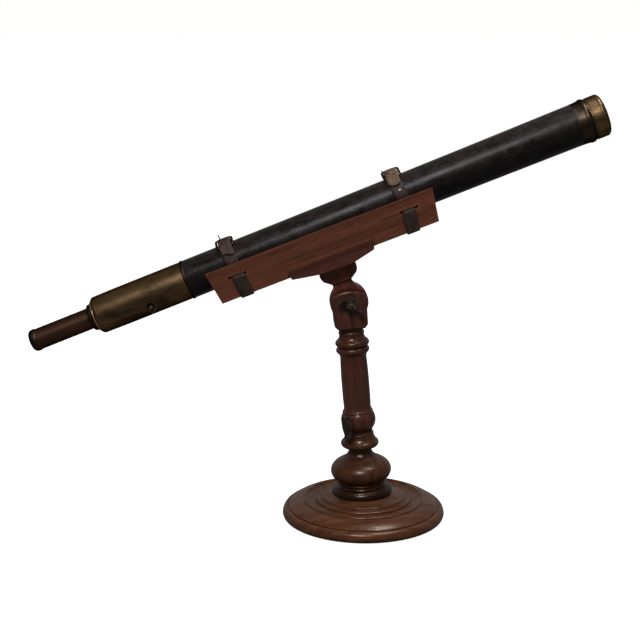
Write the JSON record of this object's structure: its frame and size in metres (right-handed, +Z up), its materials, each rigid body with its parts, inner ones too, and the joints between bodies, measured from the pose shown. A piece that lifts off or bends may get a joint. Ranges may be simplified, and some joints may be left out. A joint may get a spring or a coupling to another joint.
{
  "type": "telescope on table stand",
  "caption": "Brass day telescope with a covered barrel, strapped into a wooden trough that tilts on a wing-nut knuckle above a turned, swivelling wooden table stand.",
  "frame": {"origin": "centre of the stand's underside, on the table", "axes": "+Z up, +X the way the objective points over the table, -Y the side with the wing nut"},
  "size_m": [0.683, 0.198, 0.5105],
  "materials": {
    "turned_wood": "waxed",
    "saddle_wood": "waxed",
    "trough_wood": "waxed",
    "baize": "matte",
    "iron": "dull",
    "felt": "matte",
    "strap_leather": "worn",
    "black_covering": "polished",
    "dull_brass": "tarnished",
    "tube_brass": "tarnished",
    "bright_brass": "satin",
    "dark_brass": "tarnished",
    "blacked_brass": "matte",
    "lens_glass": "polished"
  },
  "bodies": {
    "stand": {"baize_pad": "baize", "base_disc": "turned_wood", "base_screw": "iron", "pedestal": "turned_wood", "swivel_spindle": "iron", "spindle_washer": "iron"},
    "pillar": {"pillar": "turned_wood", "thumb_bush": "dull_brass", "pivot_bolt": "iron", "bolt_washer": "iron", "nut_washer": "iron"},
    "thumbscrew": {"thumbscrew": "iron"},
    "wing_nut": {"wing_nut": "iron"},
    "cradle": {"tongue": "turned_wood", "tongue_screws": "iron", "saddle_block": "saddle_wood", "saddle_screws": "iron", "trough_floor": "trough_wood", "trough_side_near": "trough_wood", "trough_side_far": "trough_wood", "rear_rest": "felt", "front_rest": "felt", "rear_strap": "strap_leather", "front_strap": "strap_leather", "rear_buckle": "iron", "front_buckle": "iron", "strap_rivets": "dull_brass", "barrel_tube": "tube_brass", "leather_sleeve": "black_covering", "joint_bead": "dull_brass", "glare_stop": "blacked_brass", "front_ferrule": "dull_brass", "objective_cell": "bright_brass", "crown_lens": "lens_glass", "flint_lens": "lens_glass", "retaining_ring": "dull_brass", "tail_tube": "tube_brass", "gland_body": "dull_brass", "gland_packing": "felt", "gland_nut": "dull_brass", "inner_guide": "dull_brass", "arbor_bush": "dull_brass", "pinion_bracket": "dull_brass", "tail_screws": "dull_brass"},
    "draw": {"draw_tube": "tube_brass", "focus_rack": "dull_brass", "eyepiece_cap": "dark_brass", "eye_lens": "lens_glass", "field_lens": "lens_glass", "field_stop": "blacked_brass", "erector_tube": "blacked_brass", "erector_stop": "blacked_brass", "rear_erector_lens": "lens_glass", "front_erector_lens": "lens_glass"},
    "focus": {"focus_pinion": "dull_brass"},
    "rear_prong": {"rear_prong": "iron"},
    "front_prong": {"front_prong": "iron"}
  },
  "joints": [
    {"name": "pillar_swivel", "type": "hinge", "parent": "stand", "child": "pillar", "pos_m": [-0.00551, 0, 0.1089], "axis": [-0.0837, 0, 0.9965], "continuous": true},
    {"name": "cradle_tilt", "type": "hinge", "parent": "pillar", "child": "cradle", "pos_m": [-0.01896, 0, 0.26914], "axis": [0, 1, 0], "range_deg": [-28, 50]},
    {"name": "wing_nut_turn", "type": "hinge", "parent": "pillar", "child": "wing_nut", "pos_m": [-0.01896, 0, 0.26914], "axis": [0, -1, 0], "range_deg": [-90, 270]},
    {"name": "thumbscrew_turn", "type": "hinge", "parent": "pillar", "child": "thumbscrew", "pos_m": [-0.00689, 0, 0.12534], "axis": [-0.5427, -0.8387, -0.0456], "range_deg": [-90, 270]},
    {"name": "draw_slide", "type": "slide", "parent": "cradle", "child": "draw", "axis": [0.9301, 0, 0.3673], "range_m": [-0.024, 0.024]},
    {"name": "focus_turn", "type": "hinge", "parent": "cradle", "child": "focus", "pos_m": [-0.24961, -0.00532, 0.26321], "axis": [-0.1153, -0.9494, 0.292], "range_deg": [-458.4, 458.4]},
    {"name": "rear_prong_lift", "type": "hinge", "parent": "cradle", "child": "rear_prong", "pos_m": [-0.16589, -0.014, 0.3377], "axis": [0.9348, 0, 0.3551], "range_deg": [-5, 60]},
    {"name": "front_prong_lift", "type": "hinge", "parent": "cradle", "child": "front_prong", "pos_m": [0.03157, -0.01, 0.41828], "axis": [0.9348, 0, 0.3551], "range_deg": [-15, 50]}
  ],
  "couplings": [
    {"joint": "focus_turn", "follows": "draw_slide", "rad_per_m": -333.33}
  ]
}
